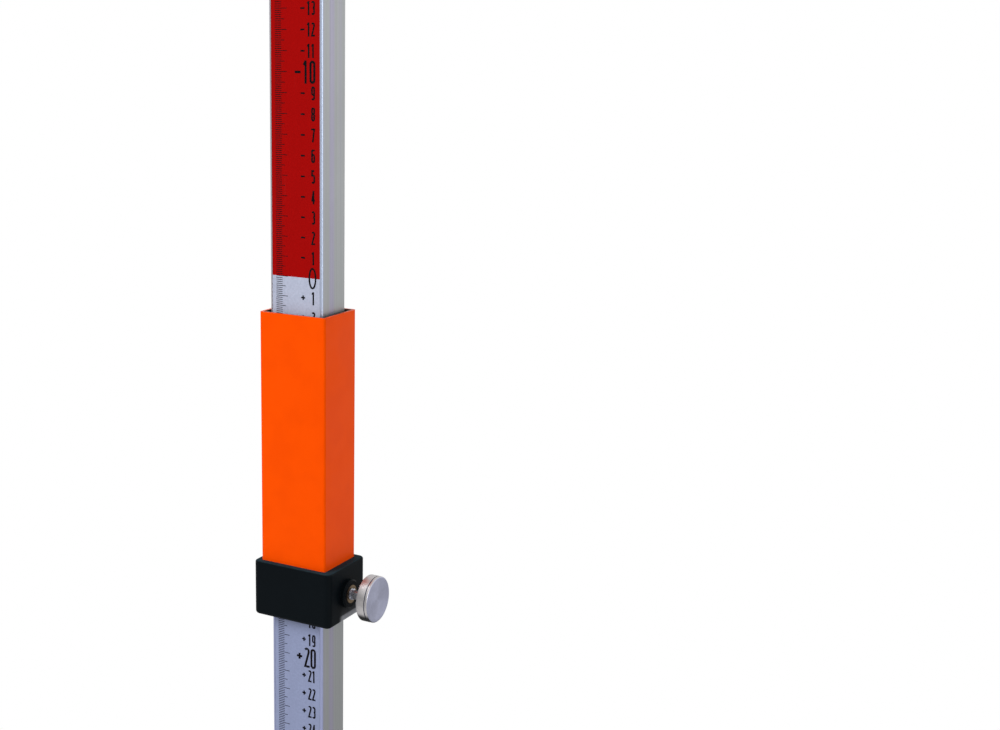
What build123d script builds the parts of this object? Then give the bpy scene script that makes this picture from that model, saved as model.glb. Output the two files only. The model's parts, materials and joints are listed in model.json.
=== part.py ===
from build123d import *
import os
from dataclasses import dataclass
from math import asin, cos, pi, sin

# Telescopic leveling staff with a sliding carriage for a laser receiver.
# The origin is at the middle of the sole. +Z runs up the staff, -Y out of the scale and +X to the knobs.
# Sizes are in millimetres, and heights are above the sole, with the inner section drawn out for use.

# Outer section
outer_width = 30.5  # across the scale
outer_depth = 22.0  # front to back
outer_wall = 1.3
outer_corner = 1.0
outer_bore_corner = 0.5
outer_top = 1459.0  # upper end of the extrusion
zero_height = 966.0  # zero mark of the scale
scale_rim = 1.3  # metal left at each side of the scale's recess
scale_recess = 0.3
strip_thickness = 0.25
strip_side_gap = 0.1  # between a strip and the recess's side
strip_end_gap = 2.0  # bare recess past a strip's outer end

# Top cap
cap_flange = 3.5
cap_overhang = 0.7  # past the extrusion, all round
cap_corner = 2.0
cap_edge = 1.2  # rounding of the top edge
cap_plug = 20.0

# Telescope
slide_gap = 0.7  # inner tube to outer bore
runner_clearance = 0.15  # at the faces that guide one section in the other
inner_wall = 1.3
inner_corner = 1.0
inner_bore_corner = 0.5
draw_out = 186.6  # length of inner tube that shows
guide_head = 40.0
guide_band = 9.0  # height of each of the guide's two running bands
guide_waist = 0.8  # how far the guide is drawn in between them
guide_plug = 25.0
head_room = 2.4  # left above the guide when the staff is pushed shut

# Foot
foot_wall = 2.6
foot_corner = 2.0
foot_edge = 0.8
foot_sleeve_length = 91.4
sole_thickness = 5.0
sole_plug = 10.0
foot_screw_inset = 6.3  # from the face's left edge
foot_screw_heights = (19.0, 31.0)

# Moulded pieces
moulding_wall = 1.8  # of hollow plugs
plug_gap = 0.1  # between a plug, socket or spigot and the tube that it fits
moulded_edge = 1.0

# Carriage
sleeve_gap = 2.4  # outer tube to sleeve
sleeve_wall = 1.6
sleeve_corner = 1.2
sleeve_drop = 18.5  # zero mark down to the sleeve's top
sleeve_length = 131.1
carriage_clearance = 0.2  # carriage's runners to the outer tube
top_guide_drop = 1.5  # sleeve's top down to its runner
top_guide_height = 12.0
spigot_height = 14.0
carriage_clamp_height = 29.3
carriage_ledge = 3.2  # clamp body past the sleeve
knob_side_extra = 1.3  # thicker wall on the knob's side
carriage_clamp_corner = 3.2
carriage_bottom_edge = 1.8
carriage_boss_diameter = 15.0
carriage_boss_rise = 2.45
carriage_screw_rise = 14.5  # clamp body's underside up to the screw

# Lower clamp
lower_grip = 15.0  # length of the bore round the inner tube
lower_socket = 11.0  # depth of the socket for the outer tube
lower_clamp_wall = 3.5  # outside the outer tube
lower_clamp_corner = 3.0
lower_boss_diameter = 13.5
lower_boss_rise = 4.0

# Vial and its shelf
vial_diameter = 17.0
vial_height = 11.0  # to the edge of its dome
vial_wall = 1.2
vial_dome = 0.9  # rise of the dome
vial_edge = 0.5
vial_base_thickness = 1.5
vial_sunk = 5.0  # depth in the shelf
vial_reach = 15.0  # outer tube's front to the vial's middle
vial_gap = 0.05  # between the vial's pieces
bubble_diameter = 5.2
bubble_depth = 1.2
shelf_thickness = 8.0
shelf_rim = 3.5  # shelf outside the vial
shelf_edge = 0.8
drain_diameter = 6.0
rib_thickness = 2.0
rib_reach = 7.0
rib_height = 9.0

# Clamp screws, alike on both clamps
stud_diameter = 6.0
stud_clearance = 0.05
stud_chamfer = 0.6
tip_step = 1.0  # stud's side in to its tip
tip_length = 1.5
tip_room = 0.1  # past the tip in its socket
insert_wall = 1.0  # round the stud
insert_lip = 0.75  # flange past the insert's side
insert_flange = 1.0
insert_proud = 0.2
insert_gap = 0.05
pad_width = 10.5
pad_height = 9.0
pad_corner = 1.5
pad_thickness = 3.0
pad_gap = 0.05  # pad to the tube that it holds
pad_side_gap = 0.15
pad_travel = 1.5
pad_back_room = 0.1  # behind the pad when it is drawn back
boss_chamfer = 0.6

# Bright knurled knob
bright_knob_diameter = 24.0
bright_knob_thickness = 6.5
bright_knob_stand = 9.2  # boss to knob
bright_knob_chamfer = 0.5
knurl_count = 60
knurl_depth = 0.2
knurl_step = 0.1  # knurl's roots in to the plain ends
rim_groove_width = 0.5
rim_groove_depth = 0.6
rim_groove_drop = 1.6  # knob's outer face to its rim groove

# Black grip knob
black_knob_diameter = 18.0
black_knob_thickness = 7.0
black_knob_stand = 10.0
black_knob_chamfer = 1.0
flute_count = 16
flute_diameter = 2.4
flute_depth = 0.6

knob_socket = 4.0  # depth of a stud in its knob
knob_socket_gap = 0.05

# Countersunk fixings
fixing_head_diameter = 5.5
fixing_shank_diameter = 2.9
fixing_gap = 0.05
fixing_spread = 16.0  # between a pair, across the back
fixing_tip_room = 0.15  # screw's tip to the bore in front of it
foot_screw_length = 5.0
drive_slot_width = 0.8
drive_slot_length = 3.2
drive_slot_depth = 0.9

# Sections that follow from these
outer_bore_width = outer_width - 2 * outer_wall
outer_bore_depth = outer_depth - 2 * outer_wall
inner_width = outer_bore_width - 2 * slide_gap
inner_depth = outer_bore_depth - 2 * slide_gap
inner_bore_width = inner_width - 2 * inner_wall
inner_bore_depth = inner_depth - 2 * inner_wall
foot_width = inner_width + 2 * (plug_gap + foot_wall)
foot_depth = inner_depth + 2 * (plug_gap + foot_wall)
strip_width = outer_width - 2 * (scale_rim + strip_side_gap)
recess_floor = -outer_depth / 2 + scale_recess
sleeve_width = outer_width + 2 * (sleeve_gap + sleeve_wall)
sleeve_depth = outer_depth + 2 * (sleeve_gap + sleeve_wall)
lower_clamp_width = outer_width + 2 * lower_clamp_wall
lower_clamp_depth = outer_depth + 2 * lower_clamp_wall
tip_diameter = stud_diameter - 2 * tip_step
insert_diameter = stud_diameter + 2 * insert_wall
insert_flange_diameter = insert_diameter + 2 * insert_lip

# Heights that follow from these
foot_top = sole_thickness + foot_sleeve_length
lower_clamp_bottom = foot_top + draw_out
lower_shoulder = lower_clamp_bottom + lower_grip
lower_clamp_top = lower_shoulder + lower_socket
guide_top = outer_top - cap_plug - draw_out - head_room
inner_top = guide_top - guide_head
sleeve_top = zero_height - sleeve_drop
carriage_clamp_top = sleeve_top - sleeve_length
carriage_clamp_bottom = carriage_clamp_top - carriage_clamp_height
shelf_top = lower_clamp_bottom + shelf_thickness
vial_bottom = shelf_top - vial_sunk
vial_middle = -outer_depth / 2 - vial_reach


@dataclass
class ClampScrew:
    """One clamp screw: its places along X, from the tube that its pad holds to its knob, and its height."""

    bearing: float  # face of the tube that the pad holds
    boss_face: float
    knob_back: float
    height: float

    @property
    def pad_front(self):
        return self.bearing + pad_gap

    @property
    def pad_back(self):
        return self.pad_front + pad_thickness

    @property
    def pocket_floor(self):
        return self.pad_back + pad_travel + pad_back_room


carriage_side = sleeve_width / 2 + carriage_ledge + knob_side_extra
carriage_boss_face = carriage_side + carriage_boss_rise
carriage_screw = ClampScrew(
    bearing=outer_width / 2,
    boss_face=carriage_boss_face,
    knob_back=carriage_boss_face + bright_knob_stand,
    height=carriage_clamp_bottom + carriage_screw_rise,
)

lower_boss_face = lower_clamp_width / 2 + lower_boss_rise
lower_screw = ClampScrew(
    bearing=inner_width / 2,
    boss_face=lower_boss_face,
    knob_back=lower_boss_face + black_knob_stand,
    height=lower_clamp_bottom + lower_grip / 2,
)


# Shapes that several pieces share


def upright(outline, bottom, top):
    """Straight piece of one flat outline between two heights."""
    return Pos(0, 0, bottom) * extrude(outline, top - bottom)


def along_x(outline, start, end, height):
    """Straight piece of one flat outline that runs along X at a height."""
    return Pos(start, 0, height) * extrude(Plane.YZ * outline, end - start)


def turned(outline, height=0.0):
    """Piece turned about an X axis at a height, from its (x, radius) outline."""
    return Pos(0, 0, height) * revolve(make_face(Polyline(*outline, close=True)), Axis.X)


def turned_upright(outline):
    """Piece turned about the vial's upright axis, from edges drawn as (radius, height)."""
    return Pos(0, vial_middle, 0) * revolve(Plane.XZ * make_face(outline), Axis.Z)


def dome(radius, edge_height, rise):
    """Arc of a shallow dome from its edge to its top, as (radius, height)."""
    ball = (radius**2 + rise**2) / (2 * rise)
    half_angle = asin(radius / ball) / 2
    top = edge_height + rise
    middle = (ball * sin(half_angle), top - ball * (1 - cos(half_angle)))
    return ThreePointArc((radius, edge_height), middle, (0, top))


def hollow_plug(width, depth, corner, bottom, top):
    """Moulded plug, hollow inside."""
    outline = RectangleRounded(width, depth, corner)
    outline -= Rectangle(width - 2 * moulding_wall, depth - 2 * moulding_wall)
    return upright(outline, bottom, top)


# Countersunk fixings


def fixing_form(length, gap=0.0):
    """Countersunk screw along X, its head's face at the origin, or the hole for it with a gap all round."""
    head = fixing_head_diameter / 2 + gap
    shank = fixing_shank_diameter / 2 + gap
    return turned([(0, 0), (0, head), (shank - head, shank), (-length - gap, shank), (-length - gap, 0)])


def fixing(length):
    """Countersunk screw with a cross drive."""
    slot = Box(2 * drive_slot_depth, drive_slot_width, drive_slot_length)
    cross_slot = Box(2 * drive_slot_depth, drive_slot_length, drive_slot_width)
    return fixing_form(length) - slot - cross_slot


def foot_screw_places():
    """Places of the foot's screws, facing the front."""
    x = foot_screw_inset - foot_width / 2
    return [Pos(x, -foot_depth / 2, z) * Rot(0, 0, -90) for z in foot_screw_heights]


def back_pair_places(face, height):
    """Places of a pair of screws that face the back."""
    return [Pos(side * fixing_spread / 2, face, height) * Rot(0, 0, 90) for side in (-1, 1)]


lower_fixing_places = back_pair_places(lower_clamp_depth / 2, lower_shoulder + lower_socket / 2)
lower_fixing_length = lower_clamp_wall + outer_wall - fixing_tip_room
carriage_fixing_places = back_pair_places(sleeve_depth / 2, carriage_clamp_top + spigot_height / 2)
carriage_fixing_length = sleeve_wall + sleeve_gap - carriage_clearance - fixing_tip_room


def holes(places, length):
    """Holes for the fixings at some places."""
    return [place * fixing_form(length, fixing_gap) for place in places]


# Inner section


def make_inner_tube():
    """Inner extrusion, with the holes for the foot's screws."""
    outline = RectangleRounded(inner_width, inner_depth, inner_corner)
    outline -= RectangleRounded(inner_bore_width, inner_bore_depth, inner_bore_corner)
    return upright(outline, sole_thickness, inner_top) - holes(foot_screw_places(), foot_screw_length)


def make_inner_top_guide():
    """Runner on the inner tube's end. It bears on the outer bore at two bands and stops on the clamp."""
    width = outer_bore_width - 2 * runner_clearance
    depth = outer_bore_depth - 2 * runner_clearance
    band = RectangleRounded(width, depth, inner_corner)
    waist = RectangleRounded(width - 2 * guide_waist, depth - 2 * guide_waist, inner_corner)
    plug_width = inner_bore_width - 2 * plug_gap
    plug_depth = inner_bore_depth - 2 * plug_gap
    plug = RectangleRounded(plug_width, plug_depth, inner_bore_corner)
    hollow = Rectangle(plug_width - 2 * moulding_wall, plug_depth - 2 * moulding_wall)
    guide = upright(waist, inner_top, guide_top)
    guide += upright(band, inner_top, inner_top + guide_band)
    guide += upright(band, guide_top - guide_band, guide_top)
    guide += upright(plug, inner_top - guide_plug, inner_top)
    return guide - upright(hollow, inner_top - guide_plug, guide_top - moulding_wall)


def make_foot_sleeve():
    """Grey sleeve round the inner tube's lower end."""
    outside = upright(RectangleRounded(foot_width, foot_depth, foot_corner), sole_thickness, foot_top)
    outside = chamfer(outside.faces().sort_by(Axis.Z)[-1].edges(), foot_edge)
    bore = RectangleRounded(inner_width + 2 * plug_gap, inner_depth + 2 * plug_gap, inner_corner)
    return outside - upright(bore, sole_thickness, foot_top) - holes(foot_screw_places(), foot_screw_length)


def make_foot_sole():
    """Black sole with a plug inside the inner tube."""
    sole = upright(RectangleRounded(foot_width, foot_depth, foot_corner), 0, sole_thickness)
    sole = chamfer(sole.faces().sort_by(Axis.Z)[0].edges(), foot_edge)
    plug_width = inner_bore_width - 2 * plug_gap
    plug_depth = inner_bore_depth - 2 * plug_gap
    plug_top = sole_thickness + sole_plug
    return sole + hollow_plug(plug_width, plug_depth, inner_bore_corner, sole_thickness, plug_top)


def make_foot_screws():
    """The two screws of the foot."""
    return [place * fixing(foot_screw_length) for place in foot_screw_places()]


# Outer section


def make_outer_tube():
    """Outer extrusion: a box section with a shallow recess along its front for the scale."""
    outline = RectangleRounded(outer_width, outer_depth, outer_corner)
    outline -= RectangleRounded(outer_bore_width, outer_bore_depth, outer_bore_corner)
    outline -= Pos(0, -outer_depth / 2) * Rectangle(outer_width - 2 * scale_rim, 2 * scale_recess)
    return upright(outline, lower_shoulder, outer_top) - holes(lower_fixing_places, lower_fixing_length)


def make_scale_strip(bottom, top):
    """Thin printed strip that lies in the recess."""
    outline = Pos(0, recess_floor - strip_thickness / 2) * Rectangle(strip_width, strip_thickness)
    return upright(outline, bottom, top)


def make_top_cap():
    """Black cap: a rounded flange over the extrusion's end, with a plug inside it."""
    width = outer_width + 2 * cap_overhang
    depth = outer_depth + 2 * cap_overhang
    cap = upright(RectangleRounded(width, depth, cap_corner), outer_top, outer_top + cap_flange)
    cap = fillet(cap.faces().sort_by(Axis.Z)[-1].edges(), cap_edge)
    plug_width = outer_bore_width - 2 * plug_gap
    plug_depth = outer_bore_depth - 2 * plug_gap
    return cap + hollow_plug(plug_width, plug_depth, outer_bore_corner, outer_top - cap_plug, outer_top)


# Clamp screws


def screw_cutter(screw, bore):
    """What a clamp screw takes out of its clamp body: the pad's pocket, and the seat of the insert."""
    pocket = RectangleRounded(pad_width + 2 * pad_side_gap, pad_height + 2 * pad_side_gap, pad_corner)
    body = insert_diameter / 2 + insert_gap
    flange = insert_flange_diameter / 2 + insert_gap
    flange_back = screw.boss_face + insert_proud - insert_flange
    start = screw.pocket_floor
    past = screw.boss_face + insert_flange
    seat = [
        (start, 0),
        (start, body),
        (flange_back, body),
        (flange_back, flange),
        (past, flange),
        (past, 0),
    ]
    return [along_x(pocket, bore, screw.pocket_floor, screw.height), turned(seat, screw.height)]


def screw_boss(screw, diameter, root):
    """Round boss that carries the insert, chamfered at its face."""
    radius = diameter / 2
    face = screw.boss_face
    outline = [
        (root, 0),
        (root, radius),
        (face - boss_chamfer, radius),
        (face, radius - boss_chamfer),
        (face, 0),
    ]
    return turned(outline, screw.height)


def make_threaded_insert(screw):
    """Flanged brass insert that takes the stud."""
    bore = stud_diameter / 2 + stud_clearance
    body = insert_diameter / 2
    flange = insert_flange_diameter / 2
    face = screw.boss_face + insert_proud
    back = face - insert_flange
    start = screw.pocket_floor
    outline = [(start, bore), (start, body), (back, body), (back, flange), (face, flange), (face, bore)]
    return turned(outline, screw.height)


def make_pressure_pad(screw):
    """Pad that the stud pushes on to the tube, with a socket for the stud's tip."""
    back = screw.pad_back
    outline = RectangleRounded(pad_width, pad_height, pad_corner)
    pad = along_x(outline, screw.pad_front, back, screw.height)
    socket = tip_diameter / 2 + stud_clearance
    floor = back - tip_length - tip_room
    return pad - turned([(floor, 0), (floor, socket), (back, socket), (back, 0)], screw.height)


def make_stud(screw):
    """Steel stud: a tip that sits in the pad, a shoulder and a shank that ends in the knob."""
    tip = tip_diameter / 2
    shank = stud_diameter / 2
    shoulder = screw.pad_back + stud_clearance
    end = screw.knob_back + knob_socket - tip_room
    outline = [
        (shoulder - tip_length, 0),
        (shoulder - tip_length, tip),
        (shoulder, tip),
        (shoulder, shank - stud_chamfer),
        (shoulder + stud_chamfer, shank),
        (end - stud_chamfer, shank),
        (end, shank - stud_chamfer),
        (end, 0),
    ]
    return turned(outline, screw.height)


def knob_bore(screw):
    """Blind hole in a knob for its stud."""
    radius = stud_diameter / 2 + knob_socket_gap
    start = screw.knob_back
    end = start + knob_socket
    return turned([(start, 0), (start, radius), (end, radius), (end, 0)], screw.height)


def make_bright_knob(screw):
    """Turned metal knob with a fine straight knurl and a groove round its rim."""
    radius = bright_knob_diameter / 2
    plain = radius - knurl_depth - knurl_step
    edge = bright_knob_chamfer
    back = screw.knob_back
    face = back + bright_knob_thickness
    groove_face = face - rim_groove_drop
    groove_back = groove_face - rim_groove_width
    core = [
        (back, 0),
        (back, plain - edge),
        (back + edge, plain),
        (groove_back, plain),
        (groove_back, radius - rim_groove_depth),
        (groove_face, radius - rim_groove_depth),
        (groove_face, plain),
        (face - edge, plain),
        (face, plain - edge),
        (face, 0),
    ]
    teeth = []
    for step in range(2 * knurl_count):
        reach = radius - knurl_depth * (step % 2)
        angle = pi * step / knurl_count
        teeth.append((reach * cos(angle), reach * sin(angle)))
    knurl = make_face(Polyline(*teeth, close=True))
    knob = turned(core, screw.height)
    knob += along_x(knurl, back + edge, groove_back, screw.height)
    knob += along_x(knurl, groove_face, face - edge, screw.height)
    return knob - knob_bore(screw)


def make_black_knob(screw):
    """Moulded grip knob with round flutes in its rim."""
    radius = black_knob_diameter / 2
    back = screw.knob_back
    face = back + black_knob_thickness
    edge = black_knob_chamfer
    outline = [
        (back, 0),
        (back, radius - edge),
        (back + edge, radius),
        (face - edge, radius),
        (face, radius - edge),
        (face, 0),
    ]
    flute = along_x(Circle(flute_diameter / 2), back, face, 0)
    flute_circle = radius + flute_diameter / 2 - flute_depth
    flutes = []
    for step in range(flute_count):
        angle = 2 * pi * step / flute_count
        flutes.append(Pos(0, flute_circle * cos(angle), screw.height + flute_circle * sin(angle)) * flute)
    return turned(outline, screw.height) - flutes - knob_bore(screw)


# Lower clamp and vial


def make_lower_clamp_body():
    """Moulded clamp at the outer tube's end, with the vial's shelf and the boss of the clamp screw."""
    block = RectangleRounded(lower_clamp_width, lower_clamp_depth, lower_clamp_corner)
    shelf_radius = vial_diameter / 2 + shelf_rim
    arm = Pos(0, vial_middle / 2) * Rectangle(2 * shelf_radius, -vial_middle)
    shelf = Pos(0, vial_middle) * Circle(shelf_radius) + arm
    body = upright(block + shelf, lower_clamp_bottom, shelf_top)
    body += upright(block, shelf_top, lower_clamp_top)
    wall = -lower_clamp_depth / 2
    shelf_rim_edges = body.edges().filter_by_position(Axis.Z, shelf_top, shelf_top)
    body = chamfer(shelf_rim_edges.filter_by(lambda edge: edge.center().Y < wall), shelf_edge)
    body = fillet(body.faces().sort_by(Axis.Z)[-1].edges(), moulded_edge)
    body = chamfer(body.faces().sort_by(Axis.Z)[0].edges(), shelf_edge)
    body += screw_boss(lower_screw, lower_boss_diameter, inner_width / 2 + pad_travel)

    rib_corners = [(wall - rib_reach, 0), (0, 0), (0, rib_height), (wall, rib_height)]
    rib = make_face(Polyline(*rib_corners, close=True))
    for side in (-1, 1):
        middle = side * (shelf_radius - shelf_edge - rib_thickness / 2)
        body += along_x(rib, middle - rib_thickness / 2, middle + rib_thickness / 2, shelf_top)

    bore_width = inner_width + 2 * runner_clearance
    bore = RectangleRounded(bore_width, inner_depth + 2 * runner_clearance, inner_corner)
    body -= upright(bore, lower_clamp_bottom, lower_shoulder)
    socket = RectangleRounded(outer_width + 2 * plug_gap, outer_depth + 2 * plug_gap, outer_corner)
    body -= upright(socket, lower_shoulder, lower_clamp_top)
    body -= upright(Pos(0, vial_middle) * Circle(vial_diameter / 2 + plug_gap), vial_bottom, shelf_top)
    body -= upright(Pos(0, vial_middle) * Circle(drain_diameter / 2), lower_clamp_bottom, vial_bottom)
    body -= holes(lower_fixing_places, lower_fixing_length)
    return body - screw_cutter(lower_screw, bore_width / 2 - pad_corner)


def make_lower_clamp_fixings():
    """The two screws that hold the clamp body on the outer tube."""
    return [place * fixing(lower_fixing_length) for place in lower_fixing_places]


def make_vial_body():
    """Clear cup of the vial, its mouth down, with a shallow dome on top."""
    radius = vial_diameter / 2
    bore = radius - vial_wall
    edge = vial_bottom + vial_height
    rim = (radius - vial_edge, edge)
    outline = Polyline((bore, vial_bottom), (radius, vial_bottom), (radius, edge - vial_edge), rim)
    outline += dome(radius - vial_edge, edge, vial_dome)
    outline += Polyline((0, edge + vial_dome), (0, edge + vial_dome - vial_wall))
    outline += dome(bore, edge - vial_wall, vial_dome)
    outline += Line((bore, edge - vial_wall), (bore, vial_bottom))
    return turned_upright(outline)


def make_vial_base():
    """Disc that closes the vial's mouth."""
    radius = vial_diameter / 2 - vial_wall - vial_gap
    return upright(Pos(0, vial_middle) * Circle(radius), vial_bottom, vial_bottom + vial_base_thickness)


def make_vial_liquid():
    """Liquid in the vial, with the hollow of its bubble under the dome."""
    radius = vial_diameter / 2 - vial_wall - vial_gap
    floor = vial_bottom + vial_base_thickness + vial_gap
    edge = vial_bottom + vial_height - vial_wall - vial_gap
    outline = Polyline((0, floor), (radius, floor), (radius, edge))
    outline += dome(radius, edge, vial_dome)
    outline += Line((0, edge + vial_dome), (0, floor))
    bubble_ball = (bubble_diameter**2 / 4 + bubble_depth**2) / (2 * bubble_depth)
    bubble = Pos(0, vial_middle, edge + vial_dome - bubble_depth + bubble_ball) * Sphere(bubble_ball)
    return turned_upright(outline) - bubble


# Carriage


def make_carriage_sleeve():
    """Orange box sleeve that the receiver's bracket closes on."""
    outline = RectangleRounded(sleeve_width, sleeve_depth, sleeve_corner)
    bore_width = sleeve_width - 2 * sleeve_wall
    outline -= RectangleRounded(bore_width, sleeve_depth - 2 * sleeve_wall, sleeve_corner / 2)
    sleeve = upright(outline, carriage_clamp_top, sleeve_top)
    return sleeve - holes(carriage_fixing_places, carriage_fixing_length)


def carriage_runner(bottom, top):
    """Ring that fills the gap between the sleeve and the outer tube, with running clearance on the tube."""
    fill = 2 * (sleeve_gap - plug_gap)
    outline = RectangleRounded(outer_width + fill, outer_depth + fill, sleeve_corner / 2)
    return upright(outline, bottom, top) - carriage_bore(bottom, top)


def carriage_bore(bottom, top):
    """Space in the carriage that the outer tube runs through."""
    play = 2 * carriage_clearance
    return upright(RectangleRounded(outer_width + play, outer_depth + play, outer_corner), bottom, top)


def make_carriage_top_guide():
    """Runner inside the sleeve's upper end."""
    top = sleeve_top - top_guide_drop
    return carriage_runner(top - top_guide_height, top)


def make_carriage_clamp_body():
    """Moulded clamp under the sleeve: a block with a ledge, the sleeve's spigot and the screw's boss."""
    width = sleeve_width + 2 * carriage_ledge + knob_side_extra
    depth = sleeve_depth + 2 * carriage_ledge
    block_outline = Pos(knob_side_extra / 2, 0) * RectangleRounded(width, depth, carriage_clamp_corner)
    block = upright(block_outline, carriage_clamp_bottom, carriage_clamp_top)
    block = fillet(block.faces().sort_by(Axis.Z)[-1].edges(), moulded_edge)
    block = fillet(block.faces().sort_by(Axis.Z)[0].edges(), carriage_bottom_edge)
    body = block + screw_boss(carriage_screw, carriage_boss_diameter, outer_width / 2 + pad_travel)
    body -= carriage_bore(carriage_clamp_bottom, carriage_clamp_top)
    body += carriage_runner(carriage_clamp_top, carriage_clamp_top + spigot_height)
    body -= screw_cutter(carriage_screw, outer_width / 2 + carriage_clearance - pad_corner)
    return body - holes(carriage_fixing_places, carriage_fixing_length)


def make_carriage_fixings():
    """The two screws that hold the sleeve on the clamp body's spigot."""
    return [place * fixing(carriage_fixing_length) for place in carriage_fixing_places]


# The assembly

pieces = {
    "inner_tube": make_inner_tube(),
    "inner_top_guide": make_inner_top_guide(),
    "foot_sleeve": make_foot_sleeve(),
    "foot_sole": make_foot_sole(),
    "foot_screws": make_foot_screws(),
    "outer_tube": make_outer_tube(),
    "top_cap": make_top_cap(),
    "red_scale_strip": make_scale_strip(zero_height, outer_top - strip_end_gap),
    "silver_scale_strip": make_scale_strip(lower_clamp_top + strip_end_gap, zero_height),
    "lower_clamp_body": make_lower_clamp_body(),
    "lower_clamp_fixings": make_lower_clamp_fixings(),
    "lower_threaded_insert": make_threaded_insert(lower_screw),
    "lower_pressure_pad": make_pressure_pad(lower_screw),
    "lower_stud": make_stud(lower_screw),
    "lower_knob": make_black_knob(lower_screw),
    "vial_body": make_vial_body(),
    "vial_base": make_vial_base(),
    "vial_liquid": make_vial_liquid(),
    "carriage_sleeve": make_carriage_sleeve(),
    "carriage_top_guide": make_carriage_top_guide(),
    "carriage_clamp_body": make_carriage_clamp_body(),
    "carriage_fixings": make_carriage_fixings(),
    "carriage_threaded_insert": make_threaded_insert(carriage_screw),
    "carriage_pressure_pad": make_pressure_pad(carriage_screw),
    "carriage_stud": make_stud(carriage_screw),
    "carriage_knob": make_bright_knob(carriage_screw),
}

os.makedirs("parts", exist_ok=True)
for name, piece in pieces.items():
    solid = Compound(children=piece) if isinstance(piece, list) else piece
    export_step(solid, f"parts/{name}.step")
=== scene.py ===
import json
from math import cos, pi, radians, sin, sqrt

import bmesh
import bpy
from mathutils import Matrix, Vector


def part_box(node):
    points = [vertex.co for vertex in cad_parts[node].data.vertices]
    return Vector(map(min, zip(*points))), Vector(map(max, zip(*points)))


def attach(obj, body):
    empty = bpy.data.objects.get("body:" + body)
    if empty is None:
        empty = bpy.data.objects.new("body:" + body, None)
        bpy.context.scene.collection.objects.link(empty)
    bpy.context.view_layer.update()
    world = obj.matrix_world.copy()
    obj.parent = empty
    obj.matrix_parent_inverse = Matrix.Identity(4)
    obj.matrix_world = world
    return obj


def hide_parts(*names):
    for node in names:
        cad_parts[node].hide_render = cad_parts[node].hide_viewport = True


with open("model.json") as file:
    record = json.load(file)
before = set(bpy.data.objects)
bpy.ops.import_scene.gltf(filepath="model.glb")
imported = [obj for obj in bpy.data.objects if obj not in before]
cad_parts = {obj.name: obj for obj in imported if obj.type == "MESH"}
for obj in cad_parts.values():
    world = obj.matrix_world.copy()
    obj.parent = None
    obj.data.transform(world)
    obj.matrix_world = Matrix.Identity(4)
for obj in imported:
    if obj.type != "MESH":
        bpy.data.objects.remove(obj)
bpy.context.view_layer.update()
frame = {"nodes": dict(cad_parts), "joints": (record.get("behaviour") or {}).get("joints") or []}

bl_info = {
    "name": "Leveling staff looks",
    "version": (1, 0, 0),
    "blender": (4, 5, 0),
    "location": "3D View > Sidebar > Staff",
    "description": "Finishes, printed scale, knob, studs, vial ring and studio of a leveling staff",
    "category": "Object",
}

MM = 0.001
CM = 0.01
FILM_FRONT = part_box("red_scale_strip")[0].y
ZERO_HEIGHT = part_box("red_scale_strip")[0].z
SCREW_HEIGHTS = {
    joint["child"]: joint["pos_m"][2] for joint in frame["joints"] if joint["type"] == "hinge"
}
WHITE = (1.0, 1.0, 1.0)
BLACK = (0.0, 0.0, 0.0)


# Properties that a user would change


def number(label, description, value, **settings):
    """Number property, with what it measures among its settings."""
    return bpy.props.FloatProperty(name=label, description=description, default=value, **settings)


def whole(label, description, value):
    """Whole number property."""
    return bpy.props.IntProperty(name=label, description=description, default=value)


def metres(label, description, value, precision=4):
    """Length property, written in metres."""
    return number(label, description, value, subtype="DISTANCE", unit="LENGTH", precision=precision)


def mm(label, description, value):
    """Length property, written in millimetres."""
    return metres(label, description, value * MM, precision=5)


def degrees(label, description, value):
    """Angle property, written in degrees."""
    return number(label, description, radians(value), subtype="ANGLE", unit="ROTATION")


def watts(label, description, value):
    """Power property."""
    return number(label, description, value, unit="POWER")


def share(label, description, value):
    """Property from 0 to 1."""
    return number(label, description, value, min=0.0, max=1.0, subtype="FACTOR")


def place(label, description, value):
    """Place property, in metres."""
    return bpy.props.FloatVectorProperty(
        name=label, description=description, default=value, subtype="TRANSLATION", unit="LENGTH"
    )


def screen(red, green, blue):
    """Linear colour of screen values from 0 to 255."""
    shares = [value / 255 for value in (red, green, blue)]
    return tuple(s / 12.92 if s <= 0.04045 else ((s + 0.055) / 1.055) ** 2.4 for s in shares)


def tint(label, description, red, green, blue):
    """Colour property, written as screen values from 0 to 255."""
    return bpy.props.FloatVectorProperty(
        name=label,
        description=description,
        default=screen(red, green, blue),
        min=0.0,
        max=1.0,
        subtype="COLOR",
    )


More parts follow.
